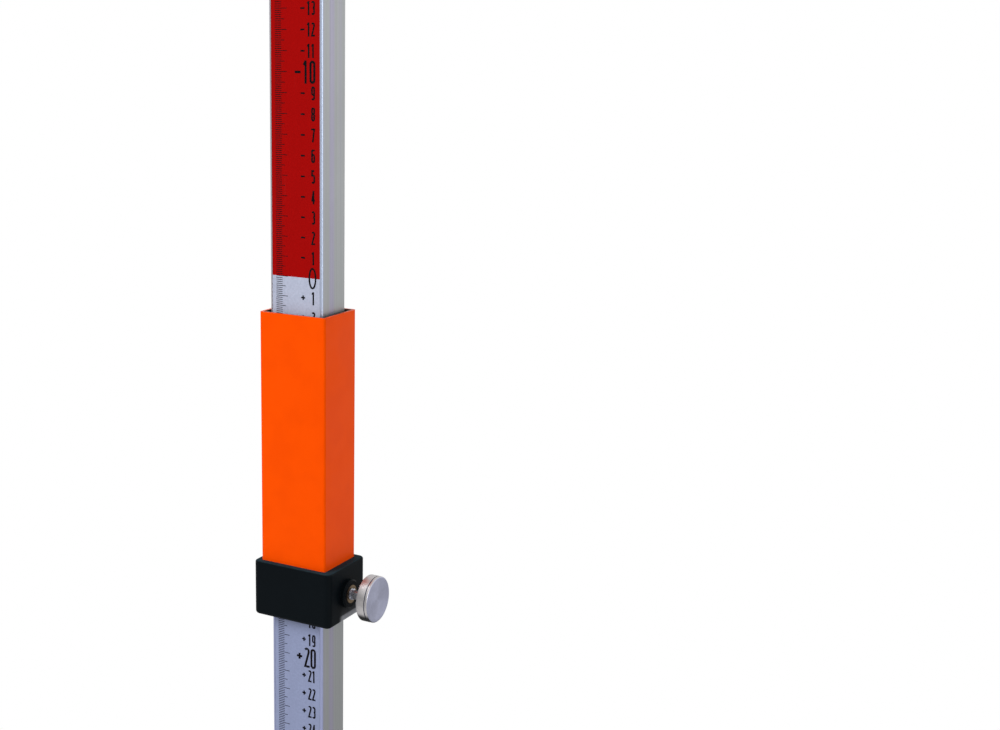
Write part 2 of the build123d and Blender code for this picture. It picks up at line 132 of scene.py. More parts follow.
class ScalePrint(bpy.types.PropertyGroup):
    """Layout of the printed scale. Places across it are from its middle, to the right."""

    tick_start: mm("Tick start", "Left end of every tick", -11.65)
    millimetre_end: mm("Millimetre end", "Right end of a millimetre tick", -8.0)
    half_end: mm("Half centimetre end", "Right end of a half-centimetre tick", -6.2)
    centimetre_end: mm("Centimetre end", "Right end of a centimetre tick", -4.8)
    tick_width: mm("Tick width", "Thickness of a tick's line", 0.32)
    unit_height: mm("Unit height", "Height of the numerals between the tens", 6.6)
    unit_digit: share("Unit digit", "Width of their digits as a share of their height", 0.325)
    unit_stroke: share("Unit stroke", "Thickness of their lines as a share of their height", 0.135)
    unit_right: mm("Unit right", "Right end of those numerals", 11.15)
    unit_sign: mm("Unit sign", "Middle of their sign", 4.15)
    unit_sign_width: mm("Unit sign width", "Width of their sign", 2.3)
    ten_height: mm("Ten height", "Height of the tens' numerals", 11.0)
    ten_digit: share("Ten digit", "Width of the tens' digits as a share of their height", 0.305)
    ten_stroke: share("Ten stroke", "Thickness of the tens' lines as a share of their height", 0.11)
    ten_right: mm("Ten right", "Right end of the tens' numerals", 11.4)
    ten_sign: mm("Ten sign", "Middle of the tens' sign", 1.35)
    ten_sign_width: mm("Ten sign width", "Width of the tens' sign", 3.3)
    zero_height: mm("Zero height", "Height of the zero", 10.7)
    zero_width: mm("Zero width", "Width of the zero", 4.6)
    zero_middle: mm("Zero middle", "Middle of the zero", 9.6)
    zero_line: mm("Zero line", "Thickness of the zero's line", 0.95)
    digit_gap: share("Digit gap", "Space between two digits as a share of their height", 0.045)
    sign_stroke: share("Sign stroke", "Thickness of a sign's line as a share of its width", 0.36)
    ink_sunk: mm("Ink sunk", "How deep the ink starts in the film", 0.01)
    ink_proud: mm("Ink proud", "How far the ink stands out of the film", 0.025)
    ink_layer: mm("Ink layer", "How far a numeral's line stands out of one that it crosses", 0.008)
    red_ticks: whole("Red ticks", "Millimetres printed above zero", 489)
    silver_ticks: whole("Silver ticks", "Millimetres printed below zero", 500)


class StudThread(bpy.types.PropertyGroup):
    """Thread of the two clamp studs."""

    pitch: mm("Pitch", "Advance in one turn", 1.0)
    depth: mm("Depth", "Crest to root", 0.55)
    chamfer: mm("Chamfer", "Chamfer of both ends", 0.6)
    tip_step: mm("Tip step", "Side of the stud in to its tip", 1.0)
    tip_length: mm("Tip length", "Length of the plain tip", 1.5)
    neck_start: mm("Neck start", "Insert's face to the plain neck", 1.2)
    neck_end: mm("Neck end", "Plain neck to the knob", 0.3)
    neck_depth: mm("Neck depth", "Crest in to the plain neck", 0.6)
    flat: share("Flat", "Width of the crest, and of the root, as a share of the pitch", 0.125)
    steps_per_pitch: whole("Steps", "Rings of the mesh in one pitch", 10)
    sides: whole("Sides", "Sides of the mesh round the stud", 36)


class BrightKnob(bpy.types.PropertyGroup):
    """Turned metal knob of the carriage."""

    knurl_teeth: whole("Knurl", "Teeth of the straight knurl", 150)
    knurl_depth: mm("Knurl depth", "Crest to root", 0.04)
    back_edge: mm("Back edge", "Chamfer of the edge by the clamp", 0.5)
    groove_drop: mm("Groove drop", "Outer face to the groove in the rim", 1.25)
    groove_width: mm("Groove width", "Width of that groove", 0.6)
    groove_depth: mm("Groove depth", "Depth of that groove", 0.45)
    face_edge: mm("Face edge", "Rounding of the outer face's edge", 0.7)
    lip: mm("Lip", "Flat ring round the dished face", 0.5)
    dish: mm("Dish", "Depth of the dished face", 0.3)
    socket_radius: mm("Socket radius", "Bore for the stud", 3.05)
    socket_depth: mm("Socket depth", "Depth of that bore", 4.0)


class VialRing(bpy.types.PropertyGroup):
    """Ring printed on the vial's dome, round the bubble's place."""

    radius: mm("Radius", "Middle of the ring's line", 3.2)
    width: mm("Width", "Thickness of the ring's line", 0.4)
    dome_radius: mm("Dome radius", "Radius of the dome's edge", 8.0)
    dome_rise: mm("Dome rise", "Height of the dome", 0.9)
    proud: mm("Proud", "How far the ring stands out of the dome", 0.03)


class StaffColours(bpy.types.PropertyGroup):
    """Colours of the staff's finishes."""

    red_film: tint("Red film", "Scale above zero", 157, 9, 8)
    silver_film: tint("Silver film", "Scale below zero", 182, 188, 208)
    # Darker film below the carriage is painted shade, where the light falls off down the staff
    silver_lower: tint("Silver film, lower", "Scale below the carriage, darker as painted shade", 142, 151, 184)
    ink: tint("Ink", "Ticks and numerals", 15, 13, 17)
    tube_side: tint("Tube", "Anodised aluminium of the outer tube", 187, 190, 191)
    tube_streak: tint("Tube streaks", "Lilac streaks of the outer tube", 187, 184, 203)
    # The rims' colours are painted highlights on bare aluminium, darker below the carriage as painted
    # shade
    tube_rim: tint("Tube rim", "Painted highlight on the rim on the knobs' side of the scale", 204, 216, 240)
    tube_rim_left: tint("Tube rim, left", "Painted highlight on the rim on the other side of the scale", 201, 198, 205)
    tube_rim_low: tint("Tube rim, low", "Rims below the carriage, painted highlight with painted shade", 178, 185, 223)
    inner_tube: tint("Inner tube", "Anodised aluminium of the inner tube", 143, 151, 171)
    inner_streak: tint("Inner tube streaks", "Streaks of the inner tube", 137, 142, 167)
    orange: tint("Orange", "Powder coat of the carriage", 249, 77, 0)
    # Painted shade inside the carriage's sleeve, in place of its coat
    sleeve_bore: tint("Sleeve bore", "Painted shade inside the carriage's sleeve", 64, 60, 58)
    black: tint("Black", "Moulded clamps and cap", 8, 14, 18)
    grip: tint("Grip", "Moulded knob", 16, 18, 21)
    foot: tint("Foot", "Moulded sleeve of the foot", 118, 124, 142)
    sole: tint("Sole", "Rubber of the sole", 20, 21, 23)
    runner: tint("Runner", "Natural plastic of the inner guide and the pads", 226, 224, 214)
    bright: tint("Bright metal", "Turned knob", 204, 207, 232)
    bright_rim: tint("Bright rim", "Knurled rim of the turned knob", 190, 187, 188)
    steel: tint("Steel", "Plated studs", 186, 188, 196)
    brass: tint("Brass", "Threaded inserts", 152, 128, 98)
    dark_steel: tint("Dark steel", "Countersunk screws", 52, 53, 57)
    liquid: tint("Liquid", "Liquid in the vial", 212, 232, 70)
    vial_white: tint("Vial white", "Disc behind the liquid", 232, 236, 214)


class StaffStage(bpy.types.PropertyGroup):
    """Studio and camera."""

    camera_place: place("Camera", "Where the camera stands", (0.4181, -0.6657, 1.0939))
    yaw: degrees("Yaw", "Camera's turn to its left from straight along +Y", 32.13)
    pitch: degrees("Pitch", "Camera's tilt down", 12.522)
    roll: degrees("Roll", "Camera's roll", -0.115)
    lens: number("Lens", "Focal length in millimetres", 57.13, unit="CAMERA")
    shift: number("Shift", "Sideways shift as a share of the picture's width", 0.192)
    ambient: share("Ambient", "Light from all round", 0.46)
    key_place: place("Key place", "Where the main lamp hangs", (-0.85, -1.3, 1.95))
    key_power: watts("Key power", "Power of the main lamp", 26.0)
    fill_place: place("Fill place", "Where the side lamp hangs", (2.0, -0.5, 1.3))
    fill_power: watts("Fill power", "Power of the side lamp", 11.5)
    overhead_place: place("Overhead place", "Where a lamp for the metal hangs", (-0.72, -0.45, 2.2))
    overhead_power: watts("Overhead power", "Power of that lamp, which metal mirrors", 4.0)
    dim_mirrored: share("Mirrored room", "How bright the room behind the camera looks in metal", 0.42)
    floor_radius: metres("Floor", "Radius of the floor", 40.0)
    floor_lift: share("Floor lift", "Added to the floor so that only its shadow is grey", 0.24)
    shadow_start: metres("Shadow start", "Where the floor starts to turn to plain white", 0.25)
    shadow_end: metres("Shadow end", "Where the floor is plain white", 1.3)
    floor_mirrored: share("Mirrored floor", "How bright the floor by the staff looks in metal", 0.4)
    front_mirrored: share("Mirrored front", "How bright the floor in front looks in metal", 0.95)


# Node trees

# Stretch of marks that run along the staff
ALONG_STAFF = (1.0, 1.0, 0.012)


class Sheet:
    """A node tree that is being drawn. Most methods add nodes and return what comes out of them."""

    def __init__(self, tree):
        self.tree = tree

    def feed(self, socket, value):
        """Links a socket, or sets its value."""
        if isinstance(value, bpy.types.NodeSocket):
            self.tree.links.new(value, socket)
        elif socket.type == "RGBA" and len(value) == 3:
            socket.default_value = (*value, 1.0)
        else:
            socket.default_value = value

    def add(self, kind, inputs=None, **settings):
        """New node with its settings and inputs."""
        node = self.tree.nodes.new(kind)
        for name, value in settings.items():
            setattr(node, name, value)
        for socket, value in (inputs or {}).items():
            self.feed(node.inputs[socket], value)
        return node

    def math(self, operation, first, second=0.0):
        return self.add("ShaderNodeMath", {0: first, 1: second}, operation=operation).outputs[0]

    def times(self, first, second):
        return self.math("MULTIPLY", first, second)

    def plus(self, first, second):
        return self.math("ADD", first, second)

    def most(self, first, second):
        """The larger of two values."""
        return self.math("MAXIMUM", first, second)

    def apart(self, first, second):
        """How far apart two values are."""
        return self.math("ABSOLUTE", self.math("SUBTRACT", first, second))

    def between(self, factor, first, second):
        """Value between two."""
        return self.add("ShaderNodeMix", {0: factor, 2: first, 3: second}).outputs[0]

    def mix(self, factor, first, second, blend="MIX"):
        """Colour between two."""
        inputs = {0: factor, 6: first, 7: second}
        return self.add("ShaderNodeMix", inputs, data_type="RGBA", blend_type=blend).outputs[2]

    def over(self, base, colour, mask, amount):
        """Colour laid over a base by some amount, where a mask says."""
        return self.mix(self.times(mask, amount), base, colour)

    def step(self, value, low, high, to_low=0.0, to_high=1.0):
        """Smooth step of a value between two limits."""
        inputs = {"Value": value, "From Min": low, "From Max": high, "To Min": to_low, "To Max": to_high}
        return self.add("ShaderNodeMapRange", inputs, interpolation_type="SMOOTHSTEP").outputs[0]

    def spread(self, value, low, high):
        """Value from 0 to 1 set out between two numbers."""
        return self.add("ShaderNodeMapRange", {"Value": value, "To Min": low, "To Max": high}).outputs[0]

    def where(self):
        """Place in the piece's own frame, in metres."""
        return self.add("ShaderNodeTexCoord").outputs["Object"]

    def facing(self):
        """Direction that the surface looks in."""
        return self.add("ShaderNodeNewGeometry").outputs["Normal"]

    def parts(self, vector):
        """X, Y and Z of a vector."""
        return self.add("ShaderNodeSeparateXYZ", {"Vector": vector}).outputs

    def joined(self, *parts):
        return self.add("ShaderNodeCombineXYZ", dict(enumerate(parts))).outputs[0]

    def length(self, vector):
        return self.add("ShaderNodeVectorMath", {0: vector}, operation="LENGTH").outputs["Value"]

    def stretched(self, vector, scale, turn=(0.0, 0.0, 0.0)):
        """Vector scaled and turned."""
        inputs = {"Vector": vector, "Scale": scale, "Rotation": turn}
        return self.add("ShaderNodeMapping", inputs).outputs[0]

    def noise(self, vector, scale, detail=2.0, roughness=0.5):
        """Soft patches from 0 to 1, about one half."""
        inputs = {"Vector": vector, "Scale": scale, "Detail": detail, "Roughness": roughness}
        return self.add("ShaderNodeTexNoise", inputs).outputs[0]

    def effect(self, name, **inputs):
        """Shared effect, with its own values. It is drawn when it is first asked for."""
        if name not in bpy.data.node_groups:
            EFFECTS[name]()
        return self.add("ShaderNodeGroup", inputs, node_tree=bpy.data.node_groups[name]).outputs


class Finish(Sheet):
    """A material that is being drawn, with its Principled shader."""

    def __init__(self, name, **sockets):
        self.material = bpy.data.materials.new(name)
        self.material.use_nodes = True
        super().__init__(self.material.node_tree)
        self.shader = self.tree.nodes["Principled BSDF"]
        for socket, value in sockets.items():
            self.set(socket.replace("_", " "), value)

    def set(self, socket, value):
        self.feed(self.shader.inputs[socket], value)

    def done(self, base, rough, height=None, depth=0.0, strength=0.0):
        """The material, with its colour, its roughness and a relief if it is given a height."""
        self.set("Base Color", base)
        self.set("Roughness", rough)
        if height is not None:
            inputs = {"Height": height, "Distance": depth, "Strength": strength}
            self.set("Normal", self.add("ShaderNodeBump", inputs).outputs[0])
        return self.material


def new_effect(name, inputs, outputs):
    """Shader node group with named sockets, and the sheet to draw it on."""
    tree = bpy.data.node_groups.new(name, "ShaderNodeTree")
    kind = "NodeSocketFloat"
    for label, value in inputs.items():
        socket = tree.interface.new_socket(label, in_out="INPUT", socket_type=kind)
        socket.default_value = value
    for label in outputs:
        tree.interface.new_socket(label, in_out="OUTPUT", socket_type=kind)
    sheet = Sheet(tree)
    return sheet, sheet.add("NodeGroupInput").outputs, sheet.add("NodeGroupOutput").inputs


def draw_die_lines():
    """Fine lines along the staff that a die leaves on an extrusion, as a tone about one half."""
    sheet, given, put = new_effect("die_lines", {"Lines": 1200.0, "Breaks": 6.0}, ["Tone"])
    spot = sheet.parts(sheet.where())
    scales = {"X": "Lines", "Y": "Lines", "Z": "Breaks"}
    vector = sheet.joined(*[sheet.times(spot[axis], given[name]) for axis, name in scales.items()])
    sheet.feed(put["Tone"], sheet.noise(vector, 1.0, detail=3.0, roughness=0.6))


def draw_handling_marks():
    """Sparse fine scratches, nearly along the staff, and soft smudges from carrying and setting down."""
    sizes = {"Scratches": 600.0, "Smudges": 30.0}
    sheet, given, put = new_effect("handling_marks", sizes, ["Scratch", "Smudge"])
    where = sheet.where()
    slant = (0.05, 0.04, 0.0)
    inputs = {"Vector": sheet.stretched(where, ALONG_STAFF, slant), "Scale": given["Scratches"]}
    from_seed = sheet.add("ShaderNodeTexVoronoi", inputs, feature="F1").outputs["Distance"]
    sheet.feed(put["Scratch"], sheet.step(from_seed, 0.09, 0.03))
    patches = sheet.noise(where, given["Smudges"], detail=4.0, roughness=0.6)
    sheet.feed(put["Smudge"], sheet.step(patches, 0.42, 0.72))


def draw_moulded_grain():
    """Fine grain of a spark-eroded mould, and a broad tone."""
    sheet, given, put = new_effect("moulded_grain", {"Grains": 2600.0}, ["Height", "Tone"])
    where = sheet.where()
    sheet.feed(put["Height"], sheet.noise(where, given["Grains"], roughness=0.6))
    sheet.feed(put["Tone"], sheet.noise(where, scale=130.0, detail=3.0))


def draw_edge_wear():
    """Uneven wear along outside edges, 1 where an edge is bare."""
    sizes = {"Radius": 0.6 * MM, "Patches": 160.0}
    sheet, given, put = new_effect("edge_wear", sizes, ["Wear"])
    rounded = sheet.add("ShaderNodeBevel", {"Radius": given["Radius"]}, samples=6).outputs[0]
    inputs = {0: rounded, 1: sheet.facing()}
    likeness = sheet.add("ShaderNodeVectorMath", inputs, operation="DOT_PRODUCT").outputs["Value"]
    edge = sheet.step(likeness, 0.995, 0.93)
    patches = sheet.noise(sheet.where(), given["Patches"], detail=3.0, roughness=0.65)
    sheet.feed(put["Wear"], sheet.times(edge, sheet.step(patches, 0.36, 0.64)))


def draw_settled_dust():
    """A dusting, with a painted sheen, on faces that look up, above a height."""
    sheet, given, put = new_effect("settled_dust", {"Patches": 260.0, "Lowest": 0.0}, ["Dust"])
    where = sheet.where()
    looks_up = sheet.step(sheet.parts(sheet.facing())["Z"], 0.6, 0.95)
    reached = sheet.math("GREATER_THAN", sheet.parts(where)["Z"], given["Lowest"])
    patches = sheet.noise(where, given["Patches"], detail=5.0, roughness=0.7)
    thickness = sheet.step(patches, 0.3, 0.7, 0.45, 1.0)
    sheet.feed(put["Dust"], sheet.times(sheet.times(looks_up, reached), thickness))


EFFECTS = {
    "die_lines": draw_die_lines,
    "handling_marks": draw_handling_marks,
    "moulded_grain": draw_moulded_grain,
    "edge_wear": draw_edge_wear,
    "settled_dust": draw_settled_dust,
}


# Finishes

# Heights between which the film and the tube's rims turn to their lower colours, a painted shade down
# the staff
SHADE_FALLOFF = (ZERO_HEIGHT - 4 * CM, ZERO_HEIGHT - 16 * CM)
# Depth of the wide streak along the tubes' sides, and its half widths where it ends and is whole
STREAK_DEPTH = -2.0 * MM
STREAK_HALF = (3.4 * MM, 1.0 * MM)
# Depth of the tube's painted rim highlights, and the widths of the changes at their edge and from one to
# the other
RIM_DEPTH = 1.2 * MM
RIM_EDGE = 0.4 * MM
RIM_CHANGE = 2.0 * MM
# Part of the film's mottle that is fine specks. The rest is clouds
SPECK_SHARE = 0.65
LINE_SHADE = (0.16, 0.16, 0.18)
CLEAR_COLOUR = (0.97, 0.985, 0.96)
# Teal of a dusting, and of the painted sheen on the clamp's ledge
DUSTING_AND_SHEEN_COLOUR = screen(38, 62, 71)
# Painted highlight where the clamp's lower edge mirrors the pale floor
EDGE_HIGHLIGHT_COLOUR = screen(150, 151, 156)
# How far under the carriage's sleeve the dusting and painted sheen still lie on its clamp
LEDGE_DROP = 3.0 * MM


def toned(colour, factor, lift=0.0):
    """Colour made darker or paler."""
    return [factor * value + lift for value in colour]


def with_rims(finish, base, right, left, low):
    """Base colour with painted highlights on the tube's rims beside the scale, darker lower down as
    shade.
    """
    spot = finish.parts(finish.where())
    rim = finish.mix(finish.step(spot["X"], 0.0, -RIM_CHANGE), right, left)
    rim = finish.mix(finish.step(spot["Z"], *SHADE_FALLOFF), rim, low)
    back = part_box("outer_tube")[0].y + RIM_DEPTH
    return finish.mix(finish.step(spot["Y"], back, back - RIM_EDGE), base, rim)


def aluminium_finish(name, colour, streak, rims=None):
    """Satin anodised extrusion with die lines and streaks, and painted rim highlights if it is given
    their colours.
    """
    finish = Finish(name, Metallic=0.88, Specular_IOR_Level=0.3)
    tone = finish.effect("die_lines", Lines=1500.0, Breaks=5.0)["Tone"]
    marks = finish.effect("handling_marks", Scratches=640.0, Smudges=24.0)
    where = finish.where()
    wide_streak = finish.step(finish.apart(finish.parts(where)["Y"], STREAK_DEPTH), *STREAK_HALF)
    patches = finish.noise(finish.stretched(where, ALONG_STAFF), scale=170.0, detail=1.0)
    faint_streaks = finish.step(patches, 0.42, 0.58, to_high=0.3)
    base = finish.mix(finish.most(wide_streak, faint_streaks), colour, streak)
    if rims:
        base = with_rims(finish, base, *rims)
    lined = finish.mix(finish.spread(tone, 0.0, 0.36), base, LINE_SHADE, "MULTIPLY")
    scratched = finish.over(lined, toned(colour, 1.5), marks["Scratch"], amount=0.35)
    rough = finish.plus(finish.spread(tone, 0.34, 0.5), finish.times(marks["Smudge"], 0.06))
    return finish.done(scratched, rough, tone, depth=0.01 * MM, strength=0.5)


def film_finish(name, colour, lower, mottle, specular, specular_tint=WHITE):
    """Printed film with a slight mottle. Its colour turns to a lower one down the staff, as painted
    shade.
    """
    finish = Finish(name, Specular_IOR_Level=specular, Specular_Tint=specular_tint)
    where = finish.where()
    base = finish.mix(finish.step(finish.parts(where)["Z"], *SHADE_FALLOFF), colour, lower)
    specks = finish.noise(where, scale=900.0, detail=3.0, roughness=0.65)
    clouds = finish.noise(finish.stretched(where, (1.0, 1.0, 0.25)), scale=120.0)
    both = finish.plus(finish.times(specks, SPECK_SHARE), finish.times(clouds, 1 - SPECK_SHARE))
    patches = finish.spread(finish.step(both, 0.35, 0.65), 0.0, mottle)
    mottled = finish.mix(patches, base, toned(lower, 0.5))
    marks = finish.effect("handling_marks", Scratches=700.0, Smudges=36.0)
    scratched = finish.over(mottled, toned(colour, 1.0, lift=0.12), marks["Scratch"], amount=0.12)
    rough = finish.spread(marks["Smudge"], 0.32, 0.46)
    return finish.done(scratched, rough, both, depth=0.012 * MM, strength=0.4)


def ink_finish(colour):
    """Printed ink, a little uneven."""
    finish = Finish("scale_ink", Specular_IOR_Level=0.03)
    patches = finish.noise(finish.where(), scale=1500.0, detail=3.0)
    base = finish.mix(finish.step(patches, 0.5, 0.75), colour, toned(colour, 2.2, lift=0.004))
    return finish.done(base, finish.spread(patches, 0.45, 0.6))


def inside_of(finish, node):
    """1 within the width and depth of a node, with a soft edge just outside them."""
    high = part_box(node)[1]
    spot = finish.parts(finish.where())
    within = []
    for axis, reach in (("X", high.x), ("Y", high.y)):
        out = finish.math("ABSOLUTE", spot[axis])
        within.append(finish.step(out, reach + 0.5 * MM, reach + 0.3 * MM))
    return finish.times(*within)


def powder_finish(colour, bore_shade):
    """Powder coat with its fine peel, a little worn along the edges, and painted shade in the bore."""
    finish = Finish("orange_coat", Specular_IOR_Level=0.12, Specular_Tint=(1.0, 1.0, 0.0))
    where = finish.where()
    peel = finish.noise(where, scale=1500.0, roughness=0.55)
    clouds = finish.noise(where, scale=60.0, detail=3.0)
    wear = finish.effect("edge_wear", Radius=0.5 * MM, Patches=220.0)["Wear"]
    marks = finish.effect("handling_marks", Scratches=520.0, Smudges=26.0)
    deep = [value * factor for value, factor in zip(colour, (0.97, 0.93, 1.0))]
    pale = [value + lift for value, lift in zip(colour, (0.01, 0.05, 0.02))]
    cloudy = finish.mix(finish.step(clouds, 0.4, 0.66), colour, deep)
    worn = finish.over(cloudy, pale, wear, amount=0.5)
    scratched = finish.over(worn, pale, marks["Scratch"], amount=0.16)
    # Painted shade in the sleeve's bore
    base = finish.mix(inside_of(finish, "carriage_top_guide"), scratched, bore_shade)
    rough = finish.spread(marks["Smudge"], 0.36, 0.48)
    return finish.done(base, rough, peel, depth=0.03 * MM, strength=0.35)


def laid_down_scuff(finish, node):
    """Painted highlight along a node's lower edge on the knobs' side, fading up that side."""
    spot = finish.parts(finish.where())
    rise = finish.math("SUBTRACT", spot["Z"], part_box(node)[0].z)
    # Painted highlight: a band along the lower edge and a faint one up the side
    band_start = finish.step(rise, 0.2 * MM, 0.6 * MM)
    band_end = finish.step(rise, 4.4 * MM, 3.0 * MM)
    side_highlight = finish.step(rise, 9.0 * MM, 2.0 * MM, to_high=0.16)
    looks_aside = finish.step(finish.parts(finish.facing())["X"], 0.3, 0.6)
    off_front = finish.step(spot["Y"], -8.5 * MM, -4.0 * MM)
    edge_highlights = finish.most(finish.times(band_start, band_end), side_highlight)
    return finish.times(finish.times(looks_aside, off_front), edge_highlights)


def moulded_finish(
    name, colour, specular, rough, grains=2600.0, grain_depth=0.02, dusting_and_sheen_share=0.3, ledge=0.0, edge_lit=None
):
    """Moulded plastic or rubber with its mould's grain, rubbed edges, and a dusting and painted sheen
    above a ledge.

    The grain's depth is in millimetres. An edge-lit node gets a painted highlight along its lower edge.
    """
    finish = Finish(name, Specular_IOR_Level=specular)
    grain = finish.effect("moulded_grain", Grains=grains)
    wear = finish.effect("edge_wear", Radius=0.7 * MM, Patches=190.0)["Wear"]
    dusting_and_sheen = finish.effect("settled_dust", Patches=300.0, Lowest=ledge)["Dust"]
    mottled = finish.mix(finish.step(grain["Tone"], 0.35, 0.65), colour, toned(colour, 0.92))
    worn = finish.over(mottled, toned(colour, 1.8, lift=0.006), wear, amount=0.7)
    if edge_lit:
        # Painted highlight along the clamp's lower edge
        worn = finish.mix(laid_down_scuff(finish, edge_lit), worn, EDGE_HIGHLIGHT_COLOUR)
    dusting_and_sheen_colour = [plastic + grey for plastic, grey in zip(toned(colour, 0.8), DUSTING_AND_SHEEN_COLOUR)]
    # Dusting on faces that look up, with a painted sheen on the clamp's ledge
    base = finish.over(worn, dusting_and_sheen_colour, dusting_and_sheen, amount=dusting_and_sheen_share)
    rubbed = finish.math("SUBTRACT", rough, finish.times(wear, 0.1))
    uneven = finish.plus(rubbed, finish.times(dusting_and_sheen, 0.35))
    return finish.done(base, uneven, grain["Height"], depth=grain_depth * MM, strength=0.5)


def turned_finish(name, colour, screw, rough, grime, rim=None):
    """Turned metal with fine rings and some grime.

    A rim is its radius, its groove's place and its colour. Its lower side at rest and its groove have
    painted shade.
    """
    finish = Finish(name, Metallic=1.0, Anisotropic=0.6, Anisotropic_Rotation=0.25)
    round_axis = finish.add("ShaderNodeTangent", direction_type="RADIAL", axis="X").outputs[0]
    finish.set("Tangent", round_axis)
    where = finish.where()
    spot = finish.parts(where)
    rise = finish.math("SUBTRACT", spot["Z"], SCREW_HEIGHTS[screw])
    radius = finish.length(finish.joined(spot["Y"], rise))
    rings = finish.noise(finish.joined(radius, spot["X"]), scale=3800.0, roughness=0.7)
    patches = finish.noise(where, scale=420.0, detail=4.0, roughness=0.6)
    marks = finish.effect("handling_marks", Smudges=90.0)
    dark = toned(colour, 0.2)
    ringed = finish.mix(finish.spread(rings, 0.0, 0.3), colour, toned(colour, 0.55))
    base = finish.over(ringed, dark, finish.step(patches, 0.3, 0.6), amount=grime)
    uneven = finish.spread(rings, rough - 0.06, rough + 0.08)
    smudged = finish.plus(uneven, finish.times(marks["Smudge"], 0.08))
    if rim:
        rim_radius, groove, rim_colour = rim
        outside = finish.step(radius, rim_radius - 0.5 * MM, rim_radius - 0.2 * MM)
        # Painted shade on the rim's lower side, standing in for a dark reflection
        painted_dark_underside = finish.step(finish.math("DIVIDE", rise, radius), -0.36, -0.64)
        rim_tone = finish.mix(painted_dark_underside, rim_colour, toned(rim_colour, 0.04))
        # Painted shade in the rim's groove
        groove_shade = finish.step(finish.apart(spot["X"], groove), 0.35 * MM, 0.2 * MM, to_high=0.8)
        base = finish.mix(groove_shade, finish.mix(outside, base, rim_tone), dark)
        smudged = finish.plus(smudged, finish.times(outside, 0.1))
    return finish.done(base, smudged, rings, depth=0.012 * MM, strength=0.5)


def dark_screw_finish(colour):
    """Blackened steel, rubbed bright along the edges of head and drive."""
    finish = Finish("dark_screws", Metallic=1.0)
    wear = finish.effect("edge_wear", Radius=0.2 * MM, Patches=900.0)["Wear"]
    patches = finish.noise(finish.where(), scale=1600.0, detail=3.0)
    base = finish.over(colour, toned(colour, 5.0), wear, amount=0.6)
    return finish.done(base, finish.spread(patches, 0.32, 0.52))


def runner_finish(colour):
    """Natural plastic of the inner guide and the pads, polished in streaks along the staff."""
    finish = Finish("runner_plastic", Specular_IOR_Level=0.3, Subsurface_Weight=0.05)
    tone = finish.effect("die_lines", Lines=900.0, Breaks=30.0)["Tone"]
    base = finish.mix(finish.step(tone, 0.45, 0.75), colour, toned(colour, 0.82))
    return finish.done(base, finish.spread(tone, 0.3, 0.55), tone, depth=0.01 * MM, strength=0.4)


def clear_finish():
    """Clear plastic of the vial."""
    finish = Finish("vial_clear", Transmission_Weight=1.0, IOR=1.49)
    marks = finish.effect("handling_marks", Smudges=150.0)
    return finish.done(CLEAR_COLOUR, finish.spread(marks["Smudge"], 0.02, 0.09))


def liquid_finish(colour):
    """Yellow-green liquid of the vial, a little paler at the top."""
    finish = Finish("vial_liquid", Transmission_Weight=1.0, IOR=1.36)
    low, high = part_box("vial_liquid")
    rise = finish.step(finish.parts(finish.where())["Z"], low.z, high.z)
    return finish.done(finish.mix(rise, colour, toned(colour, 1.0, lift=0.08)), rough=0.02)


# Pieces


def coat(material, *nodes):
    """Gives CAD nodes their finish."""
    for node in nodes:
        for slot in frame["nodes"][node].material_slots:
            slot.material = material


def new_piece(name, draft, material, body):
    """Closed mesh piece that rides on a body, with the given finish."""
    bmesh.ops.recalc_face_normals(draft, faces=draft.faces)
    mesh = bpy.data.meshes.new(name)
    draft.to_mesh(mesh)
    draft.free()
    mesh.materials.append(material)
    piece = bpy.data.objects.new(name, mesh)
    bpy.context.scene.collection.objects.link(piece)
    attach(piece, body)
    return piece


def smooth(piece, angle):
    """Smooth shading, with edges sharper than an angle in degrees kept."""
    for face in piece.data.polygons:
        face.use_smooth = True
    piece.data.set_sharp_from_angle(angle=radians(angle))


def join_rings(draft, rings, loop=False):
    """Faces between rings of points, joined into a loop or closed by a face at each end."""
    for here, ahead in zip(rings, rings[1:] + rings[:1] if loop else rings[1:]):
        for side, corner in enumerate(here):
            after = (side + 1) % len(here)
            draft.faces.new((corner, here[after], ahead[after], ahead[side]))
    if not loop:
        draft.faces.new(rings[0])
        draft.faces.new(rings[-1])


# Numerals and ticks of the scale

LOOPED_DIGITS = "08"
MITRE_LIMIT = 0.4


